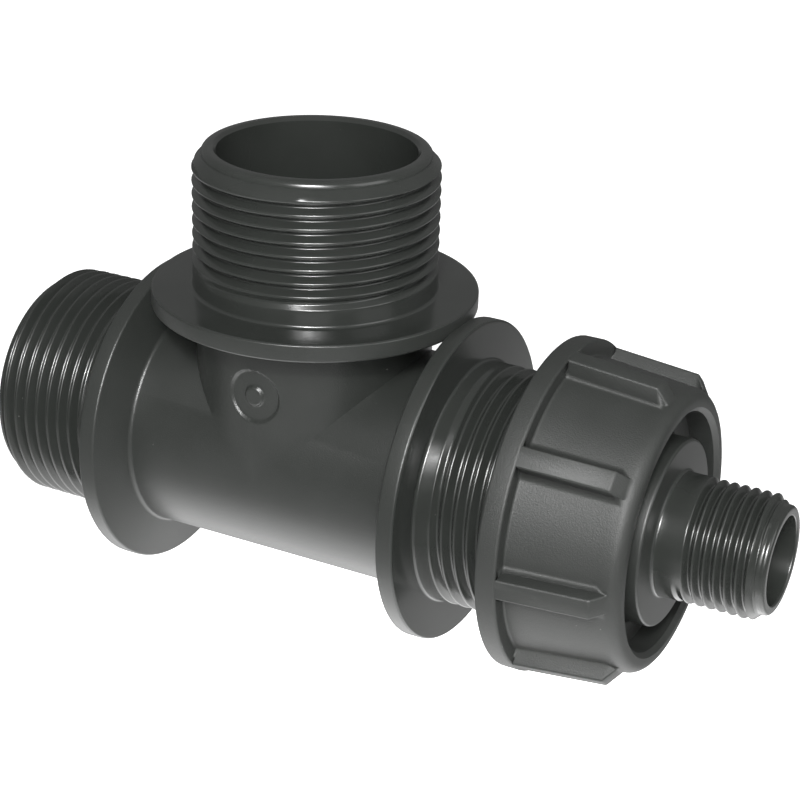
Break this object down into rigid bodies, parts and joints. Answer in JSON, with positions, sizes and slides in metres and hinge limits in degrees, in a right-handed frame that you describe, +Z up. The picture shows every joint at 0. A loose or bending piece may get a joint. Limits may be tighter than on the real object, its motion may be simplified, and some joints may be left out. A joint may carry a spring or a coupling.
{
  "type": "venturi fitting",
  "caption": "Moulded tee with male pipe-thread necks and a jet nozzle held in its inlet by a ribbed union nut, for drawing liquid into a water line.",
  "frame": {"origin": "centre of the outlet flange's outer face, on the run's axis, at the root of the outlet thread", "axes": "+X along the run from the outlet to the inlet tail, +Z up the suction branch, so the outlet thread points along -X"},
  "size_m": [0.1413, 0.057, 0.0827],
  "materials": {
    "tee_plastic": "satin black glass-filled polypropylene with a fine spark-eroded grain, smoother on the threads",
    "nozzle_plastic": "smooth black polypropylene",
    "nut_plastic": "matte black polypropylene with a coarse grain",
    "seal_rubber": "smooth nitrile rubber"
  },
  "bodies": {
    "tee": {"tee_body": "tee_plastic"},
    "nozzle": {"jet_nozzle": "nozzle_plastic", "seal_ring": "seal_rubber"},
    "nut": {"union_nut": "nut_plastic"}
  },
  "joints": [
    {"name": "nozzle_slide", "type": "slide", "parent": "tee", "child": "nozzle", "axis": [1, 0, 0], "range_m": [0, 0.007]},
    {"name": "nut_turn", "type": "hinge", "parent": "nozzle", "child": "nut", "pos_m": [0.0907, 0, 0], "axis": [1, 0, 0], "range_deg": [0, 1080]}
  ],
  "couplings": [
    {"joint": "nozzle_slide", "follows": "nut_turn", "m_per_rad": 0.00036749}
  ]
}
